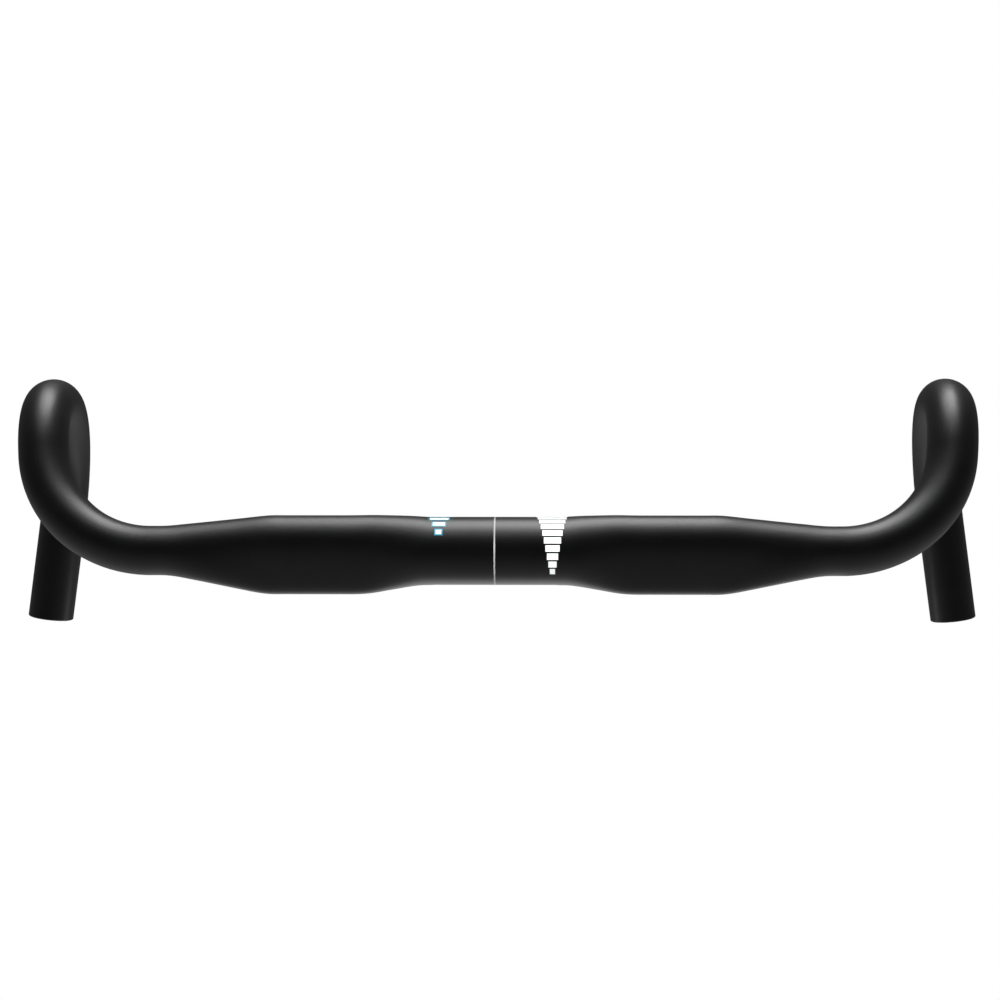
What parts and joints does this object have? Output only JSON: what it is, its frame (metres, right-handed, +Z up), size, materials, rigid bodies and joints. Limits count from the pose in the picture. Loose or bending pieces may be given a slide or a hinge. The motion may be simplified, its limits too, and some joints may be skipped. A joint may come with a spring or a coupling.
{
  "type": "drop handlebar",
  "caption": "Drop handlebar: a round clamp section, flattened wing tops, corners that dip forward, and round hooks that flare out to straight open-ended drops.",
  "frame": {"origin": "middle of the clamp section, on its axis", "axes": "+X along the clamp axis to the rider's right, +Y forward to the hooks, +Z up"},
  "size_m": [0.516, 0.1258, 0.1533],
  "materials": {
    "tube": "fine bead-blasted, matte black anodised",
    "mark_grey": "thin printed line",
    "mark_white": "satin printed film",
    "mark_blue": "satin printed film"
  },
  "bodies": {
    "root": {"clamp_section": "tube", "centre_line": "mark_grey", "left_wing_top": "tube", "left_top_taper": "tube", "left_corner_bend": "tube", "left_ramp": "tube", "left_upper_hook": "tube", "left_lower_hook": "tube", "left_drop_grip": "tube", "right_wing_top": "tube", "right_top_taper": "tube", "right_corner_bend": "tube", "right_ramp": "tube", "right_upper_hook": "tube", "right_lower_hook": "tube", "right_drop_grip": "tube", "left_mark_borders": "mark_blue", "left_mark_bars": "mark_white", "right_mark_bars": "mark_white"}
  },
  "joints": []
}
